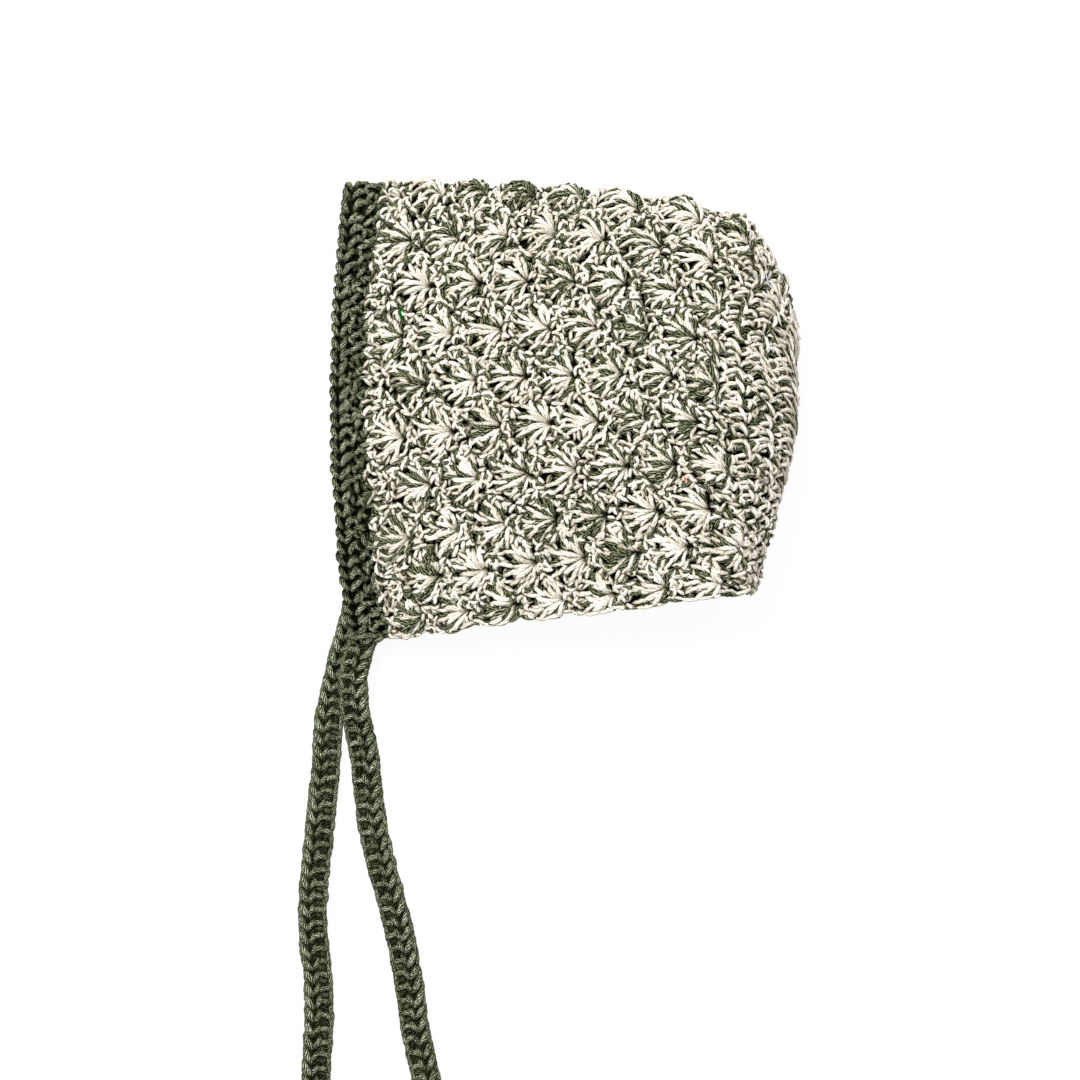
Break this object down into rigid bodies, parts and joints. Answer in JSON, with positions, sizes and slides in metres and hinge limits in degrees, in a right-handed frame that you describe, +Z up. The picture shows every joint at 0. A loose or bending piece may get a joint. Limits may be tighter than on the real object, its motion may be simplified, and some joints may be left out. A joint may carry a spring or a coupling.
{
  "type": "baby bonnet",
  "caption": "Crocheted baby bonnet lying folded on its side, with a shell-stitch body, a U-shaped back panel, a ribbed front band and two long flat ties.",
  "frame": {"origin": "centre of the bonnet's footprint, ties left out, on the surface it lies on", "axes": "+Z up from the surface; +X from the face opening to the back of the head; +Y from the neck edge to the crown"},
  "size_m": [0.1544, 0.2857, 0.0405],
  "materials": {
    "green_yarn": "dark olive-green crocheted cotton, matte with a slight sheen",
    "marled_yarn": "crocheted cotton, one cream and one olive-green strand held together, matte"
  },
  "bodies": {
    "root": {"front_band": "green_yarn", "shell_body": "marled_yarn", "back_panel": "marled_yarn", "lower_tie": "green_yarn", "upper_tie": "green_yarn"}
  },
  "joints": []
}
